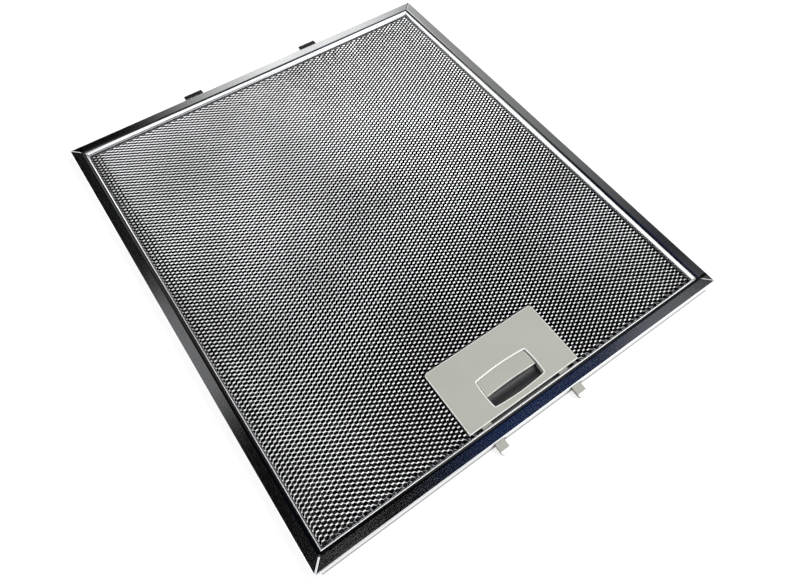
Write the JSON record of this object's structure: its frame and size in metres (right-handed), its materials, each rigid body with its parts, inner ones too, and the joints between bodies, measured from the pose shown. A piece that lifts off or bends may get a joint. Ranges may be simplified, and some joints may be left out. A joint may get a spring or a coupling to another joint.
{
  "type": "cooker hood filter",
  "caption": "Flat cooker hood grease filter: mitred metal frame gripping layered expanded mesh, with a grey latch handle whose sprung tongues lock into the hood and fixed tabs at the rear.",
  "frame": {"origin": "bottom centre: middle of the back flange's plane, halfway between the tips of the latch tongues and of the rear tabs", "axes": "+Z out of the handle face, +Y from the latch side to the tab side, +X along the latch side to the right as seen from above"},
  "size_m": [0.2676, 0.3184, 0.008],
  "materials": {
    "frame_metal": "bright rolled strip, lightly grained",
    "mesh_metal": "bare expanded foil",
    "foil_metal": "dull foil in the shade of the pack",
    "handle_plastic": "fine-textured warm light grey",
    "cover_plastic": "dark grey, seen at the bottom of the finger well",
    "spring_steel": "drawn wire",
    "tab_metal": "blackened strip"
  },
  "bodies": {
    "filter": {"frame": "frame_metal", "front_mesh": "mesh_metal", "inner_mesh_1": "foil_metal", "inner_mesh_2": "foil_metal", "inner_mesh_3": "foil_metal", "inner_mesh_4": "foil_metal", "back_mesh": "mesh_metal", "handle_plate": "handle_plastic", "handle_back": "cover_plastic", "latch_spring_left": "spring_steel", "latch_spring_right": "spring_steel", "rear_tab_left": "tab_metal", "rear_tab_right": "tab_metal"},
    "latch": {"latch_slider": "handle_plastic"}
  },
  "joints": [
    {"name": "latch_slide", "type": "slide", "parent": "filter", "child": "latch", "axis": [0, 1, 0], "range_m": [0, 0.0065], "stiffness_N_per_m": 300, "springref_m": -0.01, "deforming": ["latch_spring_left", "latch_spring_right"]}
  ]
}
